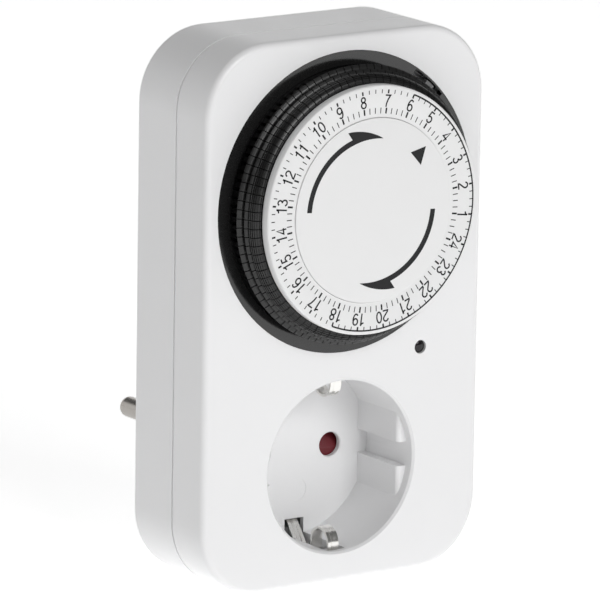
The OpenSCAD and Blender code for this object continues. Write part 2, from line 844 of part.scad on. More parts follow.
module neutral_contact() color("goldenrod") stand_up() {
    back_x = -pin_x - pocket;
    tulip(-1);
    block([back_x, -2, stub_shoulder], [back_x + pocket - tulip_out + 0.3, 2, tulip_back + over]);
    difference() {
        block([back_x, -2.5, stub_shoulder], [-pin_x + 2.4, 2.5, stub_shoulder + strip]);
        translate([-pin_x, 0]) between(stub_shoulder - over, stub_shoulder + over) circle(stub_r);
    }
}

module live_busbar() color("goldenrod") stand_up() {
    left = 6.5;
    right = left + tail_w;
    up_v = block_h / 2 + 0.3;
    far_x = rocker_x + rocker_w + 1.5;
    difference() {
        union() {
            block([pin_x - 2.5, -2.5, stub_shoulder], [pin_x + 2.5, 6, stub_shoulder + strip]);
            block([left, 3, stub_shoulder], [right, up_v + strip, stub_shoulder + strip]);
        }
        translate([pin_x, 0]) between(stub_shoulder - over, stub_shoulder + over) circle(stub_r);
    }
    block([left, up_v, stub_shoulder], [right, up_v + strip, inner_back + strip]);
    block([left, up_v, inner_back], [right, tail_turn_v, inner_back + strip]);
    block([left, tail_turn_v - tail_w, inner_back], [far_x + tail_w, tail_turn_v, inner_back + strip]);
    block([far_x, tail_turn_v - tail_w, inner_back], [far_x + tail_w, contact_v - 4, inner_back + strip]);
}

module plug_pin(side) color("silver") stand_up() translate([side * pin_x, 0, 0]) {
    tip_r = 1.6;
    tip = plug_level - pin_len;
    rotate_extrude() intersection() {
        union() {
            translate([0, tip + tip_r]) square([pin_r, pin_len - tip_r]);
            translate([0, tip]) square([pin_r - tip_r, 2 * tip_r]);
            translate([pin_r - tip_r, tip + tip_r]) circle(tip_r);
        }
        translate([0, tip - over]) square([2 * pin_r, pin_len + 10]);
    }
    ring(0, neck_r, plug_level - 0.1, plug_level + plug_wall + 0.1);
    ring(0, pin_r + 1, plug_level + plug_wall, plug_level + plug_wall + 1.2);
    ring(0, stub_r + 0.5, plug_level + plug_wall + 1, stub_shoulder);
    ring(0, stub_r, stub_shoulder - 0.1, stub_shoulder + strip + 0.6);
}

module contact_block() color("whitesmoke") stand_up() {
    difference() {
        block([-block_w / 2, -block_h / 2, shelf_level], [block_w / 2, block_h / 2, block_front]);
        for (side = [-1, 1])
            on_side(side)
                block([pin_x - pocket, -4.2, shelf_level - over], [pin_x + pocket, 4.2, block_front + over]);
        block([pin_x - tail_w / 2 - 0.3, 0, tail_low - 0.2], [pin_x + tail_w / 2 + 0.3, block_h, block_front + over]);
        block([-2.2, -block_h, shelf_level - over], [2.2, block_h, shelf_level + strip + 0.2]);
        ring(pivot_r + 0.6, pivot_r + 2.6, block_front - 2, block_front + over);
    }
    ring(0, pivot_r, block_front - 0.1, shutter_front);
}

// ---------------------------------------------------------------- shutter

module socket_shutter() color("firebrick") stand_up() difference() {
    between(shutter_back, shutter_front) {
        circle(pivot_r + 2);
        square([2 * pin_x, 3.6], center = true);
        for (side = [-1, 1]) translate([side * pin_x, 0]) circle(pad_r);
    }
    between(shutter_back - over, shutter_front + over) circle(pivot_r + running);
    for (side = [0, 180])
        rotate(side) translate([pin_x, 0, shutter_front - 0.6]) rotate([-28, 0, 0])
            block([-pad_r - 0.2, -2 * pad_r, 0], [2 * pad_r, 2 * pad_r, 3]);
}

// Torsion spring that turns the shutter back over the entry holes
module shutter_spring() color("silver") stand_up() {
    wire_r = 0.22;
    coil_r = pivot_r + 1.6;
    turns = 2.5;
    sides = 8;
    per_turn = 24;
    steps = turns * per_turn;
    rise = 0.55;
    start = block_front - 1.7;
    rings = [for (i = [0 : steps], j = [0 : sides - 1])
        let (a = 360 * i / per_turn, b = 360 * j / sides, r = coil_r + wire_r * cos(b))
        [r * cos(a), r * sin(a), start + rise * i / per_turn + wire_r * sin(b)]];
    skin = [for (i = [0 : steps - 1], j = [0 : sides - 1])
        [i * sides + j, i * sides + (j + 1) % sides, (i + 1) * sides + (j + 1) % sides, (i + 1) * sides + j]];
    ends = [[for (j = [0 : sides - 1]) sides - 1 - j], [for (j = [0 : sides - 1]) steps * sides + j]];
    polyhedron(rings, concat(skin, ends));
}

// ---------------------------------------------------------------- earth

// Spring clip: a tail through the floor, a slant out to the wall, and an arch that presses on the plug
module earth_clip(turn) color("silver") stand_up() rotate(turn) {
    arch_r = 3.5;
    arch_mid = -6.1;
    leg = arch_r - strip / 2;
    arch_v = well_r - clip_rise + arch_r;
    tail_v = earth_v + strip / 2;
    wall_v = well_r + 1.2;
    step = 15;
    bends = [
        [tail_v, shelf_level + strip], [tail_v, -well_depth - 1.1], [wall_v + 0.5, -well_depth + 2.7],
        [wall_v, arch_mid - leg]
    ];
    arch = [for (a = [270 : -step : 90]) [arch_v + leg * cos(a), arch_mid + leg * sin(a)]];
    foot = [[wall_v, arch_mid + leg], [wall_v + 0.1, arch_mid + leg - 1.3]];
    across(-clip_w / 2, clip_w / 2) bent_strip(concat(bends, arch, foot), strip);
}

module earth_bridge() color("silver") stand_up()
    block([-2, -earth_v - strip, shelf_level], [2, earth_v + strip, shelf_level + strip]);

module plug_earth(turn) color("silver") stand_up() rotate(turn) {
    bow = 1.1;
    across(-2, 2)
        polygon([
            for (side = [0, strip], i = [0 : 5])
                let (
                    levels = [shelf_level, shelf_level - 5, shelf_level - 8, shelf_level - 13, shelf_level - 16, shelf_level - 18.4],
                    rises = [0, 0, bow, bow, 0, 0],
                    j = side == 0 ? i : 5 - i
                )
                [earth_v + side + rises[j], levels[j]]
        ]);
}

// ---------------------------------------------------------------- lamp

module lamp_lens() color("darkslategray") stand_up() translate(lamp_at) {
    ring(0, lens_r, -1.4, -0.1);
    ring(0, lens_flange_r, -2.4, -1.2);
}

module neon_lamp() color("orange") stand_up() translate(lamp_at)
    rotate_extrude()
        polygon([[0, lamp_low], [lamp_r, lamp_low], [lamp_r, -4.2], [0.9, -2.7], [0, -2.7]]);

module lamp_resistor() color("burlywood") stand_up() translate(lamp_at) {
    lead_r = 0.3;
    ring(0, 1.2, lamp_low - 6.5, lamp_low - 1.5);
    ring(0, lead_r, lamp_low - 1.6, lamp_low);
}

// ---------------------------------------------------------------- output

for (hour = hours)
    tappets(hour);
front_housing();
rear_housing();
dial_collar();
centre_disc();
hour_ring();
dial_drum();
dial_spindle();
gear_plate();
drive_gear();
drive_gear_arbor();
motor_pinion();
motor_gearcase();
motor_can();
motor_screws();
switch_plunger();
switch_rocker();
rocker_pin();
moving_contact();
fixed_contact();
live_busbar();
live_socket_contact();
neutral_contact();
contact_block();
socket_shutter();
shutter_spring();
earth_clip(0);  // earth_clip_top
earth_clip(180);  // earth_clip_bottom
earth_bridge();
plug_earth(0);  // plug_earth_top
plug_earth(180);  // plug_earth_bottom
plug_pin(1);  // plug_pin_live
plug_pin(-1);  // plug_pin_neutral
lamp_lens();
neon_lamp();
lamp_resistor();
housing_screws();
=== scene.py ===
"""The finish of a plug in timer switch: a white moulded body with a side earthed socket, and a black
segment dial round a white printed hour ring."""

from math import atan2, cos, dist, pi, radians, sin

import bmesh
import bpy
from mathutils import Matrix, Vector


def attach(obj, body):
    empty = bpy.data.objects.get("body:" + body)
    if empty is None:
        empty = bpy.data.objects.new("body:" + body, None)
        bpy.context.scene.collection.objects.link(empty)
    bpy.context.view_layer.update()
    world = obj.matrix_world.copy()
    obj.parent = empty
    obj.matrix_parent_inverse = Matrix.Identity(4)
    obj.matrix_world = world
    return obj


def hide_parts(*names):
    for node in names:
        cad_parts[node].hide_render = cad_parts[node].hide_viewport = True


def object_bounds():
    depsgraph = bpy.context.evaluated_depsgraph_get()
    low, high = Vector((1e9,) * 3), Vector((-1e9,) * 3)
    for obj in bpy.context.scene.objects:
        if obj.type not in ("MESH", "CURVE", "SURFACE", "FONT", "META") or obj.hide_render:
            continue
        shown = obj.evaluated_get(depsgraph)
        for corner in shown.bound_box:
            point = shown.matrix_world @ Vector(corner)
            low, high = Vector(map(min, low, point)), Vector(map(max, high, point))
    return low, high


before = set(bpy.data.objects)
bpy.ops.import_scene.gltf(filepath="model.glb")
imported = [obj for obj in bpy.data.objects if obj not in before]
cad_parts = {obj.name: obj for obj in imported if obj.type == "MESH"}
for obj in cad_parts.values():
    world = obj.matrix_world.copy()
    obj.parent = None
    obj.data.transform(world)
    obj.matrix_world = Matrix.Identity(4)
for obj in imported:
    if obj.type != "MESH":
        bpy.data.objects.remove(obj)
cad_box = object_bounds()
mm = 0.001

# ---------------------------------------------------------------- viewpoint, table and light

# Seen through a very long lens, from the left and a little above, and rolled by less than a degree. The
# whole frame spans about 130 mm at the object.
yaw, dip, roll = radians(34.624), radians(12.711), radians(0.897)
aim = Vector((-7.82, -48.15, 37.64)) * mm
distance = 1551.8 * mm
ahead = Vector((sin(yaw) * cos(dip), cos(yaw) * cos(dip), -sin(dip)))
level = Vector((cos(yaw), -sin(yaw), 0))
right = level * cos(roll) + level.cross(ahead) * sin(roll)
camera_data = bpy.data.cameras.new("long_lens")
camera_data.lens = 421.8
camera_data.clip_start = 0.1
camera_data.clip_end = 20
camera = bpy.data.objects.new("camera", camera_data)
turn = Matrix((right, right.cross(ahead), -ahead)).transposed()
camera.matrix_world = Matrix.Translation(aim - ahead * distance) @ turn.to_4x4()
bpy.context.scene.collection.objects.link(camera)
bpy.context.scene.camera = camera
bpy.context.scene.view_settings.view_transform = "Standard"


def piece(name, mesh):
    """A mesh as an object in the scene, at the origin."""
    made = bpy.data.objects.new(name, mesh)
    bpy.context.scene.collection.objects.link(made)
    return made


# The table is a wide sheet of pale matt board that curves up behind the object. It glows faintly, as
# board lit from all round does.
board_half, board_rise, board_bend = 2.5, 2.0, 0.8
bend_steps = 16
ground = cad_box[0][2]
profile = [(-board_half, ground)]
for step in range(bend_steps + 1):
    bent = pi / 2 * step / bend_steps
    profile.append((board_half + board_bend * sin(bent), ground + board_bend * (1 - cos(bent))))
profile.append((board_half + board_bend, ground + board_rise))
board = bmesh.new()
edges = [[board.verts.new((x, y, z)) for y, z in profile] for x in (-board_half * 2, board_half * 2)]
for (a, b), (d, c) in zip(zip(edges[0], edges[0][1:]), zip(edges[1], edges[1][1:])):
    board.faces.new((a, d, c, b))
board_mesh = bpy.data.meshes.new("pale_board")
board.to_mesh(board_mesh)
board.free()
board_mesh.shade_smooth()
board_paint = bpy.data.materials.new("pale_board")
board_paint.use_nodes = True
board_shader = board_paint.node_tree.nodes["Principled BSDF"]
board_shader.inputs["Roughness"].default_value = 0.7
board_shader.inputs["Base Color"].default_value = (0.97, 0.97, 0.97, 1)
board_shader.inputs["Emission Color"].default_value = (1, 1, 1, 1)
board_shader.inputs["Emission Strength"].default_value = 0.62
board_mesh.materials.append(board_paint)
piece("pale_board", board_mesh)


def softbox(name, place, wide, high, watts):
    """A rectangular area light that faces the object. Its sizes and place are in metres."""
    light = bpy.data.lights.new(name, "AREA")
    light.shape = "RECTANGLE"
    light.size = wide
    light.size_y = high
    light.energy = watts
    lamp = bpy.data.objects.new(name, light)
    lamp.matrix_world = Matrix.LocRotScale(
        Vector(place), (Vector(place) - aim).to_track_quat("Z", "Y"), None)
    bpy.context.scene.collection.objects.link(lamp)


# One wide box in front does most of the work, and a second one hangs above.
softbox("key", (0.05, -1.68, 0.82), wide=1.15, high=0.75, watts=15.2)
softbox("top", (0.0, 0.1, 1.6), wide=1.0, high=1.0, watts=3.8)
world = bpy.data.worlds.new("studio")
world.use_nodes = True
world.node_tree.nodes["Background"].inputs["Color"].default_value = (1, 1, 1, 1)
world.node_tree.nodes["Background"].inputs["Strength"].default_value = 0.11
bpy.context.scene.world = world

# ---------------------------------------------------------------- rear and front shell

# Two thick shells of injection moulded white ABS, satin outside, with the plug's boss on the rear one
# and the socket well in the front one. A tongue in the rim lines them up and four screws join them.

# Most of a noise pattern's values lie between these two.
noise_low, noise_high = 0.3, 0.7


def add(tree, kind, inputs=None, **settings):
    """One node: its settings, then its inputs, each a value or another node's output."""
    node = tree.nodes.new(kind)
    for name, value in settings.items():
        setattr(node, name, value)
    for name, value in (inputs or {}).items():
        if isinstance(value, bpy.types.NodeSocket):
            tree.links.new(value, node.inputs[name])
        else:
            node.inputs[name].default_value = value
    return node


def two_tones(name, colour, shade, cloud, detail):
    """A material whose colour drifts between two tones in patches of about cloud millimetres. Gives the
    material, its tree, its shader and the coordinates that its patterns follow."""
    paint = bpy.data.materials.new(name)
    paint.use_nodes = True
    tree = paint.node_tree
    shader = tree.nodes["Principled BSDF"]
    where = add(tree, "ShaderNodeTexCoord").outputs["Object"]
    drift = add(tree, "ShaderNodeTexNoise", {"Vector": where, "Scale": 1 / (cloud * mm), "Detail": detail})
    tones = add(tree, "ShaderNodeMix", {
        "Factor": drift.outputs["Fac"], "A": (*colour, 1), "B": (*shade, 1)}, data_type="RGBA")
    tree.links.new(tones.outputs["Result"], shader.inputs["Base Color"])
    return paint, tree, shader, where


def roughen(tree, shader, wear, rough, spread, relief, depth):
    """Lets one pattern vary the roughness, and another raise the surface by up to depth millimetres."""
    gloss = add(tree, "ShaderNodeMapRange", {
        "Value": wear.outputs["Fac"], "From Min": noise_low, "From Max": noise_high,
        "To Min": rough - spread, "To Max": rough + spread})
    tree.links.new(gloss.outputs["Result"], shader.inputs["Roughness"])
    bump = add(tree, "ShaderNodeBump", {
        "Height": relief.outputs["Fac"], "Distance": depth * mm, "Strength": 1.0})
    tree.links.new(bump.outputs["Normal"], shader.inputs["Normal"])


def plastic(name, colour, shade, rough, spread, grain, depth, cloud=30, **finish):
    """Moulded plastic: slow colour drift between two tones, gloss that varies three times as finely, and
    a fine moulded grain. grain, depth and cloud are sizes in millimetres."""
    paint, tree, shader, where = two_tones(name, colour, shade, cloud, 3.0)
    wear = add(tree, "ShaderNodeTexNoise", {"Vector": where, "Scale": 3 / (cloud * mm), "Detail": 5.0})
    relief = add(tree, "ShaderNodeTexNoise", {"Vector": where, "Scale": 1 / (grain * mm), "Detail": 2.0})
    roughen(tree, shader, wear, rough, spread, relief, depth)
    for socket, value in finish.items():
        shader.inputs[socket.replace("_", " ")].default_value = value
    return paint


def finish_nodes(paint, *names):
    """Gives CAD pieces their finish."""
    for name in names:
        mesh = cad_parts[name].data
        for i in range(len(mesh.materials)):
            mesh.materials[i] = paint


white_abs = plastic(
    "white_abs", (0.84, 0.84, 0.845), (0.82, 0.82, 0.825), rough=0.34, spread=0.03, grain=0.9, depth=0.001)
finish_nodes(white_abs, "front_housing", "rear_housing")

# ---------------------------------------------------------------- plug pins and earth contacts

# Two solid pins turned from brass bar and nickel plated, pressed into the boss; the lathe leaves fine
# rings round them. The side contacts and the strip that joins them are bent from sprung strip.

# How much the pattern of fine lines is scaled down along the lines.
line_scale = 0.04


def metal(name, colour, worn, rough, spread, line, depth, along=(0, 1, 0), cloud=4):
    """Bare or plated metal: two tones in soft patches and fine lines, which run along the axes that have
    a 1 in along. line is the spacing of the lines in millimetres, and cloud the size of the patches."""
    paint, tree, shader, where = two_tones(name, colour, worn, cloud, 4.0)
    shader.inputs["Metallic"].default_value = 1.0
    squeeze = [line_scale if axis else 1.0 for axis in along]
    drawn = add(tree, "ShaderNodeMapping", {"Vector": where, "Scale": squeeze})
    lines = add(tree, "ShaderNodeTexNoise", {
        "Vector": drawn.outputs["Vector"], "Scale": 1 / (line * mm), "Detail": 3.0})
    roughen(tree, shader, lines, rough, spread, lines, depth)
    return paint


turned_nickel = metal(
    "turned_nickel", (0.42, 0.40, 0.375), (0.34, 0.32, 0.30), rough=0.2, spread=0.05, line=0.1, depth=0.001,
    along=(1, 0, 1))
finish_nodes(turned_nickel, "plug_pin_live", "plug_pin_neutral")
nickel_strip = metal(
    "nickel_strip", (0.93, 0.92, 0.89), (0.86, 0.85, 0.82), rough=0.2, spread=0.05, line=0.15, depth=0.0006)
finish_nodes(nickel_strip, "plug_earth_top", "plug_earth_bottom", "earth_bridge")

# ---------------------------------------------------------------- contact block, shutter and sleeves

# An insulating block of pressed urea holds the two sprung brass sleeves that grip a plug's pins. The red
# acetal shutter turns on the block, and a fine torsion spring keeps it over the pin holes.
urea = plastic(
    "urea", (0.72, 0.71, 0.68), (0.66, 0.65, 0.61), rough=0.5, spread=0.08, grain=0.15, depth=0.006, cloud=6)
finish_nodes(urea, "contact_block")
red_acetal = plastic(
    "red_acetal", (0.17, 0.012, 0.02), (0.12, 0.01, 0.015), rough=0.4, spread=0.05, grain=0.2, depth=0.003,
    cloud=5)
finish_nodes(red_acetal, "socket_shutter")
brass_strip = metal(
    "brass_strip", (0.70, 0.52, 0.25), (0.58, 0.40, 0.19), rough=0.28, spread=0.08, line=0.1, depth=0.003,
    along=(0, 0, 1))
finish_nodes(brass_strip, "live_socket_contact", "neutral_contact", "live_busbar")
spring_wire = metal(
    "spring_wire", (0.55, 0.55, 0.56), (0.44, 0.44, 0.45), rough=0.25, spread=0.06, line=0.05, depth=0.001,
    along=(1, 0, 1), cloud=1)
finish_nodes(spring_wire, "shutter_spring")

# ---------------------------------------------------------------- switch

# A light rocker of natural acetal turns on a steel pin between two ears of the rear shell. A dark acetal
# plunger pushes it, and it lifts a leaf of phosphor bronze until the leaf's rivet meets the fixed one.
natural_acetal = plastic(
    "natural_acetal", (0.76, 0.73, 0.64), (0.70, 0.66, 0.56), rough=0.42, spread=0.06, grain=0.2,
    depth=0.003, cloud=3, Subsurface_Weight=0.1, Subsurface_Radius=(0.001, 0.0008, 0.0006))
finish_nodes(natural_acetal, "switch_rocker")
bright_steel = metal(
    "bright_steel", (0.58, 0.58, 0.59), (0.50, 0.50, 0.51), rough=0.18, spread=0.05, line=0.06, depth=0.001,
    cloud=2)
finish_nodes(bright_steel, "rocker_pin")
bronze = metal(
    "bronze", (0.60, 0.36, 0.20), (0.50, 0.29, 0.16), rough=0.3, spread=0.07, line=0.08, depth=0.002,
    along=(0, 0, 1), cloud=2)
finish_nodes(bronze, "moving_contact", "fixed_contact")
polished_acetal = plastic(
    "polished_acetal", (0.13, 0.13, 0.132), (0.15, 0.15, 0.152), rough=0.2, spread=0.04, grain=0.3,
    depth=0.001, cloud=3)
finish_nodes(polished_acetal, "switch_plunger")

# ---------------------------------------------------------------- motor, gear plate and gears

# A flat synchronous motor in a drawn steel can is screwed to a zinc plated sheet plate, with its
# reduction sealed in a polyamide case. Its brass pinion drives the acetal wheel that turns the dial.
zinc_plate = metal(
    "zinc_plate", (0.62, 0.64, 0.66), (0.50, 0.52, 0.55), rough=0.34, spread=0.1, line=0.2, depth=0.004,
    along=(0, 0, 1), cloud=7)
finish_nodes(zinc_plate, "gear_plate")
drawn_steel = metal(
    "drawn_steel", (0.60, 0.60, 0.62), (0.52, 0.52, 0.54), rough=0.3, spread=0.08, line=0.15, depth=0.003,
    along=(1, 0, 0), cloud=10)
finish_nodes(drawn_steel, "motor_can")
polyamide = plastic(
    "polyamide", (0.68, 0.67, 0.63), (0.62, 0.60, 0.55), rough=0.5, spread=0.07, grain=0.25, depth=0.005,
    cloud=9)
finish_nodes(polyamide, "motor_gearcase")
cut_brass = metal(
    "cut_brass", (0.78, 0.58, 0.27), (0.66, 0.47, 0.21), rough=0.2, spread=0.06, line=0.05, depth=0.001,
    cloud=2)
finish_nodes(cut_brass, "motor_pinion")
finish_nodes(natural_acetal, "drive_gear")
finish_nodes(bright_steel, "dial_spindle", "drive_gear_arbor", "motor_screws")

# ---------------------------------------------------------------- dial drum and switching segments

# The drum is black acetal with a comb of slots round it. In the slots slide the switching segments, one
# for each quarter of an hour: small ribbed acetal blocks, pushed in where the timer is to be on.
black_acetal = plastic(
    "black_acetal", (0.006, 0.006, 0.006), (0.011, 0.011, 0.011), rough=0.33, spread=0.05, grain=0.3,
    depth=0.01, cloud=6, Specular_IOR_Level=0.55)
finish_nodes(black_acetal, "dial_drum")

# Levels count outwards from the front face, radii from the dial axis. Both are in millimetres.
face_y = -54.0
dial_height = 60.0
per_hour = 4
segment_pitch = 3.75
segment_gap = 0.38
segment_play = 0.1
mark_four = 37.12
hours = range(1, 25)


def hour_angle(hour):
    """Where an hour's mark stands, in degrees from the right, worked out from the mark of four."""
    return mark_four + per_hour * segment_pitch * (hour - 4)


# A head has two ridges with a groove between them, and above them a crown that is a quarter round with
# treads. A ridge's top falls in three slopes, each given in degrees with its length.
head_in, head_low, head_top = 27.9, 3.4, 8.2
ridge_low, ridge_up, ridge_valley = 31.35, 30.5, 29.5
low_edge, low_edge_high = 0.15, 0.12
low_slopes_at, low_slopes = 0.2, ((46, 0.28), (34, 0.5), (21, 0.3))
groove_from, groove_to = 1.0, 1.75
up_slopes_at, up_slopes = 1.85, ((46, 0.2), (34, 0.4), (21, 0.15))
neck_from, neck_to = 0.4, 0.15
crown_r, crown_low = 29.9, 6.2
tread_depth, treads = 0.2, 6
# One tread: shares of its pitch, each with 1 in the groove and 0 on the land.
tread_shape = ((0.0, 1), (0.1, 0), (0.6, 0), (0.7, 1))


def slopes(start, runs):
    """Goes on from a point of a section by short runs, each a slope in degrees and a length."""
    points = [start]
    for tilt, length in runs:
        r, h = points[-1]
        points.append((r - length * cos(radians(tilt)), h + length * sin(radians(tilt))))
    return points


head_section = [
    (head_in, head_low), (ridge_low - low_edge, head_low), (ridge_low, head_low + low_edge_high),
    *slopes((ridge_low, head_low + low_slopes_at), low_slopes),
    (ridge_valley, head_low + groove_from), (ridge_valley, head_low + groove_to),
    *slopes((ridge_up, head_low + up_slopes_at), up_slopes),
    (ridge_valley, crown_low - neck_from), (ridge_valley, crown_low - neck_to)]
for tread in range(treads):
    for share, sunk in tread_shape:
        rise = pi / 2 * (tread + share) / treads
        reach = crown_r - head_in - tread_depth * sunk
        height = head_top - crown_low - tread_depth * sunk
        head_section.append((head_in + reach * cos(rise), crown_low + height * sin(rise)))
head_section.append((head_in, head_top - tread_depth))


def walls(made, rings):
    """Faces between each ring of points and the next one."""
    for ring, following in zip(rings, rings[1:]):
        for i in range(len(ring)):
            j = (i + 1) % len(ring)
            made.faces.new((ring[i], ring[j], following[j], following[i]))


def swept(section, turns):
    """A closed section, as radius and level, carried round the dial axis through the given angles, with
    flat ends. Its place is relative to the dial axis."""
    made = bmesh.new()
    rings = []
    for angle in turns:
        rings.append([
            made.verts.new(Vector((r * cos(radians(angle)), face_y - h, r * sin(radians(angle)))) * mm)
            for r, h in section])
    walls(made, rings)
    made.faces.new(rings[0])
    made.faces.new(rings[-1])
    return made


def closed(made, name):
    """The mesh of a closed form that was built face by face, with its faces turned outwards."""
    bmesh.ops.recalc_face_normals(made, faces=made.faces)
    mesh = bpy.data.meshes.new(name)
    made.to_mesh(mesh)
    made.free()
    return mesh


head_half = (segment_pitch - segment_gap) / 2
blank = swept(head_section, (-head_half, head_half))

# The stem under the head is a block that slides in the drum's slot.
stem_in, stem_deep, stem_wide, stem_low, stem_sunk = 28.1, 1.3, 1.1, -6.4, 0.2
for corner in bmesh.ops.create_cube(blank, size=1)["verts"]:
    inward, down, across = corner.co
    corner.co = Vector((
        stem_in + stem_deep * (inward + 0.5),
        face_y - (stem_low + (head_low + stem_sunk - stem_low) * (down + 0.5)),
        stem_wide * across)) * mm
blank_mesh = closed(blank, "segment_blank")


def ring_tree():
    """Geometry Nodes: copies of the incoming mesh round the dial axis at an even pitch. Each hour's copy
    can be wider than the rest, and with play each one sits a little behind its place."""
    tree = bpy.data.node_groups.new("round_the_dial", "GeometryNodeTree")
    tree.is_modifier = True
    panel = tree.interface
    panel.new_socket("Geometry", in_out="INPUT", socket_type="NodeSocketGeometry")
    for label, kind in (
            ("Count", "Int"), ("Pitch", "Float"), ("First angle", "Float"), ("Axis height", "Float"),
            ("Hour width", "Float"), ("Hour every", "Int"), ("Play", "Float"), ("Seed", "Int"),
            ("Material", "Material")):
        panel.new_socket(label, in_out="INPUT", socket_type="NodeSocket" + kind)
    panel.new_socket("Geometry", in_out="OUTPUT", socket_type="NodeSocketGeometry")
    given = add(tree, "NodeGroupInput").outputs
    index = add(tree, "GeometryNodeInputIndex").outputs["Index"]
    angle = add(tree, "ShaderNodeMath", {
        0: index, 1: given["Pitch"], 2: given["First angle"]}, operation="MULTIPLY_ADD")
    back = add(tree, "ShaderNodeMath", {0: angle.outputs[0], 1: -1.0}, operation="MULTIPLY")
    turned = add(tree, "ShaderNodeCombineXYZ", {"Y": back.outputs[0]})
    random = add(tree, "FunctionNodeRandomValue", {"ID": index, "Seed": given["Seed"]}, data_type="FLOAT")
    shift = add(tree, "ShaderNodeMath", {0: random.outputs[1], 1: given["Play"]}, operation="MULTIPLY")
    place = add(tree, "ShaderNodeCombineXYZ", {"Y": shift.outputs[0], "Z": given["Axis height"]})
    points = add(tree, "GeometryNodePoints", {"Count": given["Count"], "Position": place.outputs["Vector"]})
    hour = add(tree, "ShaderNodeMath", {0: index, 1: given["Hour every"]}, operation="MODULO")
    is_hour = add(tree, "FunctionNodeCompare", {
        "A": hour.outputs[0], "B": 0.5}, data_type="FLOAT", operation="LESS_THAN")
    wide = add(tree, "GeometryNodeSwitch", {
        "Switch": is_hour.outputs["Result"], "False": 1.0, "True": given["Hour width"]}, input_type="FLOAT")
    scale = add(tree, "ShaderNodeCombineXYZ", {"X": 1.0, "Y": 1.0, "Z": wide.outputs[0]})
    euler = add(tree, "FunctionNodeEulerToRotation", {"Euler": turned.outputs["Vector"]})
    copies = add(tree, "GeometryNodeInstanceOnPoints", {
        "Points": points.outputs[0], "Instance": given["Geometry"], "Rotation": euler.outputs[0],
        "Scale": scale.outputs["Vector"]})
    real = add(tree, "GeometryNodeRealizeInstances", {"Geometry": copies.outputs[0]})
    painted = add(tree, "GeometryNodeSetMaterial", {
        "Geometry": real.outputs[0], "Material": given["Material"]})
    add(tree, "NodeGroupOutput", {"Geometry": painted.outputs[0]})
    return tree


def grown(name, mesh, tree, **values):
    """The mesh that a tree makes from a starting mesh, as a plain piece."""
    seed_piece = piece(name + "_seed", mesh)
    modifier = seed_piece.modifiers.new("grow", "NODES")
    modifier.node_group = tree
    sockets = {item.name: item.identifier for item in tree.interface.items_tree if item.in_out == "INPUT"}
    for label, value in values.items():
        modifier[sockets[label.replace("_", " ")]] = value
    bpy.context.view_layer.update()
    evaluated = seed_piece.evaluated_get(bpy.context.evaluated_depsgraph_get())
    baked = bpy.data.meshes.new_from_object(evaluated)
    seed_piece.modifiers.remove(modifier)
    bpy.data.objects.remove(seed_piece)
    baked.name = name
    return piece(name, baked)


dial_tree = ring_tree()
for hour in hours:
    node = f"tappets_hour_{hour:02d}"
    group = grown(
        f"segments_{hour:02d}", blank_mesh, dial_tree, Count=per_hour, Pitch=radians(segment_pitch),
        First_angle=radians(hour_angle(hour) + segment_pitch / 2), Axis_height=dial_height * mm,
        Hour_width=1.0, Hour_every=per_hour, Play=segment_play * mm, Seed=hour, Material=black_acetal)
    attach(group, node)
    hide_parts(node)

# ---------------------------------------------------------------- hour ring and centre disc

# The hour ring is moulded in white and snaps on the drum, so it turns with it; the disc inside it is
# fixed to the spindle. Both are printed in black after moulding.
dial_white = plastic(
    "dial_white", (0.79, 0.79, 0.79), (0.77, 0.77, 0.77), rough=0.33, spread=0.03, grain=0.9, depth=0.001)


def rounded(corners, steps=5):
    """The corners of a section, as radius, level and fillet, with each fillet drawn as a short arc."""
    points = []
    for i, (x, y, fillet) in enumerate(corners):
        here = Vector((x, y))
        if not fillet:
            points.append((x, y))
            continue
        before = (Vector(corners[i - 1][:2]) - here).normalized()
        after = (Vector(corners[(i + 1) % len(corners)][:2]) - here).normalized()
        half = before.angle(after) / 2
        centre = here + (before + after).normalized() * fillet / sin(half)
        start = here + before * fillet * cos(half) / sin(half) - centre
        end = here + after * fillet * cos(half) / sin(half) - centre
        sweep = atan2(start.x * end.y - start.y * end.x, start.dot(end))
        for k in range(steps + 1):
            a = sweep * k / steps
            points.append((
                centre.x + start.x * cos(a) - start.y * sin(a),
                centre.y + start.x * sin(a) + start.y * cos(a)))
    return points


def smooth(mesh, paint, crease):
    """Gives a mesh its finish, and shades it smooth but for edges sharper than crease degrees."""
    mesh.materials.append(paint)
    mesh.shade_smooth()
    mesh.set_sharp_from_angle(angle=radians(crease))


def lathe(name, section, paint, steps=192):
    """A closed section spun once round the dial axis."""
    made = bmesh.new()
    rings = []
    for k in range(steps):
        a = 2 * pi * k / steps
        rings.append([
            made.verts.new(Vector((r * cos(a), face_y - h, dial_height + r * sin(a))) * mm)
            for r, h in section])
    for k, ring in enumerate(rings):
        following = rings[(k + 1) % steps]
        for i in range(len(section)):
            j = (i + 1) % len(section)
            # Two points on the axis make no face.
            if section[i][0] or section[j][0]:
                made.faces.new((ring[i], ring[j], following[j], following[i]))
    merge_gap = 1e-7
    bmesh.ops.remove_doubles(made, verts=made.verts, dist=merge_gap)
    bmesh.ops.dissolve_degenerate(made, edges=made.edges, dist=merge_gap)
    mesh = closed(made, name)
    smooth(mesh, paint, crease=32)
    return piece(name, mesh)


ring_bore, ring_r, ring_low, ring_top = 20.67, 27.85, 8.8, 10.4
ring_lip, ring_clear = 0.85, 0.1
ring_fillet, bore_fillet = 0.4, 0.1
hour_ring = lathe("hour_ring_moulded", rounded([
    (ring_bore, ring_low, 0), (ring_r - ring_lip, ring_low, 0),
    (ring_r - ring_lip, head_top + ring_clear, 0), (ring_r, head_top + ring_clear, 0),
    (ring_r, ring_top, ring_fillet), (ring_bore, ring_top, bore_fillet)]), dial_white)
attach(hour_ring, "dial")
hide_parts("hour_ring")

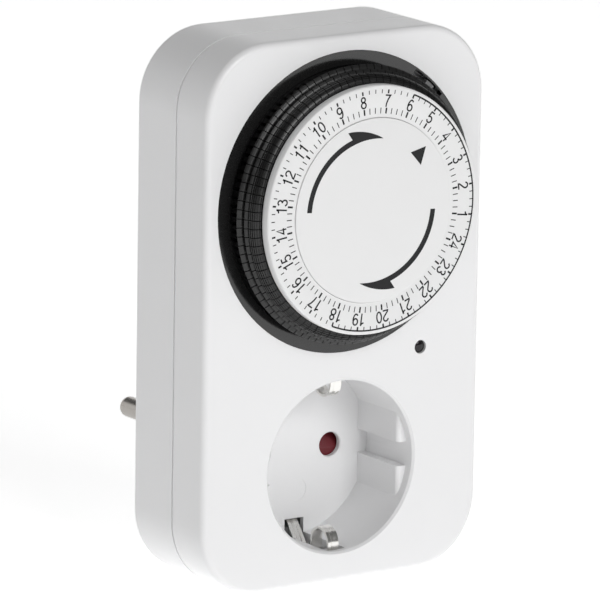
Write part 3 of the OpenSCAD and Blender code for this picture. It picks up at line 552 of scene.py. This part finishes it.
disc_r, disc_low, disc_top, hub_r, hub_low, hub_bore = 20.6, 9.1, 10.67, 5.0, 6.9, 1.8
disc_fillet, hub_fillet = 0.12, 0.2
centre_disc = lathe("centre_disc_moulded", rounded([
    (0, disc_low, 0), (hub_bore, disc_low, 0), (hub_bore, hub_low, 0), (hub_r, hub_low, hub_fillet),
    (hub_r, disc_low, 0), (disc_r, disc_low, 0), (disc_r, disc_top, disc_fillet), (0, disc_top, 0)]),
    dial_white)
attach(centre_disc, "root")
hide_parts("centre_disc")

# ---------------------------------------------------------------- print on the dial

# Pad printing in black: quarter hour ticks in two rings, hour numbers with their tops outwards, a line
# that marks the night half, and on the fixed disc the time mark and two arrows for the turning direction.
dial_ink = plastic(
    "dial_ink", (0.012, 0.012, 0.013), (0.016, 0.016, 0.017), rough=0.45, spread=0.06, grain=0.06,
    depth=0.002, cloud=2, Specular_IOR_Level=0.25)
ink = 0.03
ring_face, disc_face = ring_top - 0.004, disc_top - 0.001
tick_wide = 0.2
# Each ring of ticks has a name, a middle radius, a length and a seed.
tick_rings = (("outer_ticks", 26.43, 0.87, 1), ("inner_ticks", 22.18, 1.3, 2))


def ink_bar(name, mid, length):
    """One printed tick, as a thin slab that points away from the dial axis."""
    slab = bmesh.new()
    bmesh.ops.create_cube(slab, size=1)
    for corner in slab.verts:
        x, y, z = corner.co
        corner.co = Vector((mid + x * length, face_y - ring_face - ink * (0.5 - y), z * tick_wide)) * mm
    return closed(slab, name)


for name, mid, length, seed in tick_rings:
    ticks = grown(
        name, ink_bar(name + "_bar", mid, length), dial_tree, Count=per_hour * len(hours),
        Pitch=radians(segment_pitch), First_angle=radians(hour_angle(4)), Axis_height=dial_height * mm,
        Hour_width=2.0, Hour_every=per_hour, Play=0.0, Seed=seed, Material=dial_ink)
    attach(ticks, "dial")


def printed(name, forms, body):
    """Joins thin slabs to one print and lets it ride on a body."""
    whole = bmesh.new()
    for form in forms:
        slab = closed(form, "slab")
        whole.from_mesh(slab)
        bpy.data.meshes.remove(slab)
    mesh = bpy.data.meshes.new(name)
    whole.to_mesh(mesh)
    whole.free()
    mesh.materials.append(dial_ink)
    made = piece(name, mesh)
    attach(made, body)


night_in, night_out, night_steps = 26.725, 27.075, 90
night_from, night_to = hour_angle(18), hour_angle(30)
night_section = [
    (night_in, ring_face), (night_out, ring_face), (night_out, ring_face + ink), (night_in, ring_face + ink)]
night_line = swept(
    night_section, [night_from + (night_to - night_from) * k / night_steps for k in range(night_steps + 1)])
bmesh.ops.translate(night_line, verts=night_line.verts, vec=(0, 0, dial_height * mm))
printed("night_line", [night_line], "dial")

# The numbers are drawn by a pen of even width. Their points and the pen are in units of their height.
digit_r, digit_high, digit_pitch, digit_shift, pen = 24.375, 2.75, 0.64, 0.02, 0.125


def bow(x, y, wide, high, start, end, steps=14):
    """Points on an ellipse round (x, y), from one angle to another in degrees."""
    turns = [radians(start + (end - start) * k / steps) for k in range(steps + 1)]
    return [(x + wide * cos(a), y + high * sin(a)) for a in turns]


digit_pens = {
    "0": [bow(0.3, 0.5, 0.22, 0.44, 0, 360, 28)],
    "1": [[(0.1, 0.76), (0.24, 0.79), (0.33, 0.88), (0.36, 1)], [(0.36, 1), (0.36, 0)]],
    "2": [[*bow(0.3, 0.715, 0.22, 0.225, 172, -38), (0.1, 0.17), (0.075, 0.06), (0.54, 0.06)]],
    "3": [bow(0.29, 0.735, 0.19, 0.205, 160, -90), bow(0.3, 0.295, 0.225, 0.235, 90, -165)],
    "4": [[(0.55, 0.27), (0.07, 0.27), (0.42, 0.92), (0.42, 0)]],
    "5": [[(0.5, 0.94), (0.16, 0.94), (0.11, 0.5), *bow(0.3, 0.315, 0.225, 0.255, 128, -158)]],
    "6": [bow(0.32, 0.48, 0.235, 0.46, 48, 190, 18), bow(0.315, 0.315, 0.215, 0.255, 0, 360, 24)],
    "7": [[(0.06, 0.94), (0.54, 0.94), (0.36, 0.62), (0.25, 0.3), (0.22, 0)]],
    "8": [bow(0.3, 0.745, 0.185, 0.195, 0, 360, 22), bow(0.3, 0.295, 0.22, 0.235, 0, 360, 24)],
    "9": [bow(0.28, 0.52, 0.235, 0.46, 228, 370, 18), bow(0.285, 0.685, 0.215, 0.255, 0, 360, 24)]}


def pen_line(points, place, reading, outward):
    """One stroke of a number as a thin ribbon, whose corners are mitred up to a limit."""
    loop_gap, mitre_limit = 1e-6, 0.45
    loop = dist(points[0], points[-1]) < loop_gap
    spots = [Vector(point) for point in (points[:-1] if loop else points)]
    count = len(spots)
    slab = bmesh.new()
    rails = []
    for i, here in enumerate(spots):
        last = spots[i - 1] if i or loop else here * 2 - spots[1]
        following = spots[(i + 1) % count] if i < count - 1 or loop else here * 2 - last
        before, after = (here - last).normalized(), (following - here).normalized()
        side = Vector((-before.y - after.y, before.x + after.x)) / max(1 + before.dot(after), mitre_limit)
        rails.append([
            slab.verts.new((place + reading * (here.x + side.x * k) * digit_high
                            + outward * (here.y + side.y * k) * digit_high + Vector((0, -lift, 0))) * mm)
            for k, lift in ((-pen / 2, 0), (pen / 2, 0), (pen / 2, ink), (-pen / 2, ink))])
    walls(slab, rails + rails[:1] if loop else rails)
    if not loop:
        slab.faces.new(rails[0])
        slab.faces.new(rails[-1])
    return slab


numbers = []
for hour in hours:
    angle = radians(hour_angle(hour))
    outward = Vector((cos(angle), 0, sin(angle)))
    reading = Vector((sin(angle), 0, -cos(angle)))
    label = str(hour)
    for k, digit in enumerate(label):
        across = ((k - len(label) / 2) * digit_pitch + digit_shift) * digit_high
        foot = Vector((0, face_y - ring_face, dial_height)) + outward * (digit_r - digit_high / 2)
        corner = foot + reading * across
        numbers += [pen_line(points, corner, reading, outward) for points in digit_pens[digit]]
printed("hour_numbers", numbers, "dial")

# The disc's print sits a little to the left of the dial axis.
print_off = -0.6
stroke_in, stroke_out, barb_r, tip_r = 15.92, 17.16, 19.13, 16.2
stroke_end, head_back, barb_at, head_tip = 175.6, 108.2, 110.0, 79.8
outer_bend, inner_bend = 1.08, 0.6
curve_steps = 24
mark_tip_r, mark_tip_at = 19.33, 42.3
mark_foot_r, mark_foot_from, mark_foot_to = 15.8, 49.5, 34.4


def polar(r, degrees):
    """A spot of the disc's print, in x and height."""
    return print_off + r * cos(radians(degrees)), dial_height + r * sin(radians(degrees))


def curved(start, end, start_r, end_r, bend=1.0):
    """Spots from one angle to another while the radius goes from one value to the other."""
    shares = [k / curve_steps for k in range(curve_steps + 1)]
    return [polar(start_r + (end_r - start_r) * t ** bend, start + (end - start) * t) for t in shares]


def ink_sheet(outline):
    """A printed area of the disc with the given outline, as a thin slab."""
    slab = bmesh.new()
    front = [slab.verts.new(Vector((x, face_y - disc_face - ink, v)) * mm) for x, v in outline]
    back = [slab.verts.new(Vector((x, face_y - disc_face, v)) * mm) for x, v in outline]
    slab.faces.new(front)
    slab.faces.new(back)
    walls(slab, [front, back])
    bmesh.ops.triangulate(slab, faces=[f for f in slab.faces if len(f.verts) > 4])
    return slab


def arrow(turned):
    """A clockwise arrow: a long even stroke, then a head with a notched back and a hooked tip."""
    end, back, barb, tip = (turned + degrees for degrees in (stroke_end, head_back, barb_at, head_tip))
    stroke = curved(end, back, stroke_out, stroke_out) + curved(back, end, stroke_in, stroke_in)
    outer = curved(barb, tip, barb_r, tip_r, outer_bend)
    inner = curved(tip, back, tip_r, stroke_in, inner_bend)[1:]
    return [ink_sheet(stroke), ink_sheet([polar(stroke_out, back), *outer, *inner])]


time_mark = ink_sheet([
    polar(mark_tip_r, mark_tip_at), polar(mark_foot_r, mark_foot_from), polar(mark_foot_r, mark_foot_to)])
printed("disc_print", [*arrow(0), *arrow(180), time_mark], "root")

# ---------------------------------------------------------------- collar and lamp

# The collar is a flat ring of polished black thermoplastic, snapped in the front shell flush with its
# face. Under the dial sits the indicator: a small smoked lens in front of a glow lamp and its resistor.
polished_black = plastic(
    "polished_black", (0.012, 0.012, 0.012), (0.015, 0.015, 0.015), rough=0.14, spread=0.03, grain=0.8,
    depth=0.0006, cloud=25, Specular_IOR_Level=0.72)
finish_nodes(polished_black, "dial_collar")
smoked = plastic(
    "smoked_lens", (0.005, 0.004, 0.005), (0.009, 0.006, 0.008), rough=0.12, spread=0.03, grain=0.4,
    depth=0.001, cloud=2)
lens_r, lens_flange_r, lens_low, lens_step, lens_rim, lens_crown = 1.5, 2.5, -2.4, -1.2, -0.75, -0.15
lamp_x, lamp_up = 20.9, 24.8
dome_steps, lens_steps = 8, 48
dome = []
for k in range(dome_steps, -1, -1):
    lean = pi / 2 * k / dome_steps
    dome.append((lens_r * sin(lean), lens_rim + (lens_crown - lens_rim) * cos(lean)))
lens = lathe("smoked_lens", [
    (0, lens_low), (lens_flange_r, lens_low), (lens_flange_r, lens_step), (lens_r, lens_step), *dome],
    smoked, lens_steps)
lens.data.transform(Matrix.Translation((lamp_x * mm, 0, (lamp_up - dial_height) * mm)))
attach(lens, "root")
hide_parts("lamp_lens")
lamp_glass = plastic(
    "lamp_glass", (0.95, 0.85, 0.78), (0.92, 0.80, 0.72), rough=0.06, spread=0.02, grain=0.5, depth=0.002,
    cloud=3, Transmission_Weight=0.9, IOR=1.5)
finish_nodes(lamp_glass, "neon_lamp")
ceramic = plastic(
    "ceramic", (0.58, 0.46, 0.28), (0.52, 0.40, 0.24), rough=0.45, spread=0.08, grain=0.1, depth=0.004,
    cloud=1)
finish_nodes(ceramic, "lamp_resistor")

# ---------------------------------------------------------------- earth clips

# Each clip is one strip of sprung brass, pressed with a groove along its middle and nickel plated. It
# comes up through the floor of the well, leans out to the wall and arches back to press on a plug.
clip_wide, clip_thick, clip_groove = 2.9, 0.6, 0.13

# The strip's bends, as distance from the well's axis, level and fillet. The arch is a half circle.
leg_out, leg_foot, leg_top, leg_fillet = 16.5, -33.2, -19.3, 0.8
wall_out, wall_level = 21.2, -15.5
back_out, back_fillet, hook_fillet = 20.75, 0.7, 0.4
end_out, end_level = 20.85, -4.2
arch_out, arch_level, arch_r = 18.4, -6.1, 3.2
arch = []
for turned in range(10, 171, 10):
    arch.append((arch_out - arch_r * sin(radians(turned)), arch_level - arch_r * cos(radians(turned)), 0))
clip_bends = [
    (leg_out, leg_foot, 0), (leg_out, leg_top, leg_fillet), (wall_out, wall_level, leg_fillet),
    (back_out, arch_level - arch_r, back_fillet), (arch_out, arch_level - arch_r, 0), *arch,
    (arch_out, arch_level + arch_r, 0), (back_out, arch_level + arch_r, hook_fillet),
    (end_out, end_level, 0)]

# The strip's section, in half widths and thicknesses.
edge_in, edge_down = 0.96, 0.35
groove_out, groove_in = 0.40, 0.24
groove_floor = 0.5 - clip_groove / clip_thick
clip_section = [
    (-1.0, edge_down), (-edge_in, 0.5), (-groove_out, 0.5), (-groove_in, groove_floor),
    (groove_in, groove_floor), (groove_out, 0.5), (edge_in, 0.5), (1.0, edge_down),
    (1.0, -edge_down), (edge_in, -0.5), (-edge_in, -0.5), (-1.0, -edge_down)]
clip_path = [Vector(point) for point in rounded(clip_bends)]


def clip_mesh(name, upside):
    """The strip's section carried along its path; upside is 1 for the top clip and -1 for the lower."""
    made = bmesh.new()
    rings = []
    for i, here in enumerate(clip_path):
        before = (here - clip_path[i - 1] if i else clip_path[1] - here).normalized()
        after = (clip_path[i + 1] - here).normalized() if i < len(clip_path) - 1 else before
        normals = [Vector((-d.y, d.x)) for d in (before, after)]
        side = (normals[0] + normals[1]) / (1 + normals[0].dot(normals[1]))
        ring = []
        for across, out in clip_section:
            spot = here + side * out * clip_thick
            ring.append(made.verts.new(Vector((
                across * clip_wide / 2 * upside, face_y - spot.y, spot.x * upside)) * mm))
        rings.append(ring)
    walls(made, rings)
    made.faces.new(rings[0])
    made.faces.new(rings[-1])
    mesh = closed(made, name)
    smooth(mesh, nickel_strip, crease=28)
    return mesh


for place, upside in (("top", 1), ("bottom", -1)):
    clip = piece(f"sprung_clip_{place}", clip_mesh(f"sprung_clip_{place}", upside))
    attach(clip, "root")
    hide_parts(f"earth_clip_{place}")

# ---------------------------------------------------------------- housing screws

# Four thread forming screws of blackened steel hold the two shells together. They are driven from behind
# and sit deep in the rear shell.
black_steel = metal(
    "black_steel", (0.10, 0.10, 0.105), (0.15, 0.15, 0.15), rough=0.35, spread=0.08, line=0.08, depth=0.003,
    along=(1, 0, 0), cloud=1)
finish_nodes(black_steel, "housing_screws")
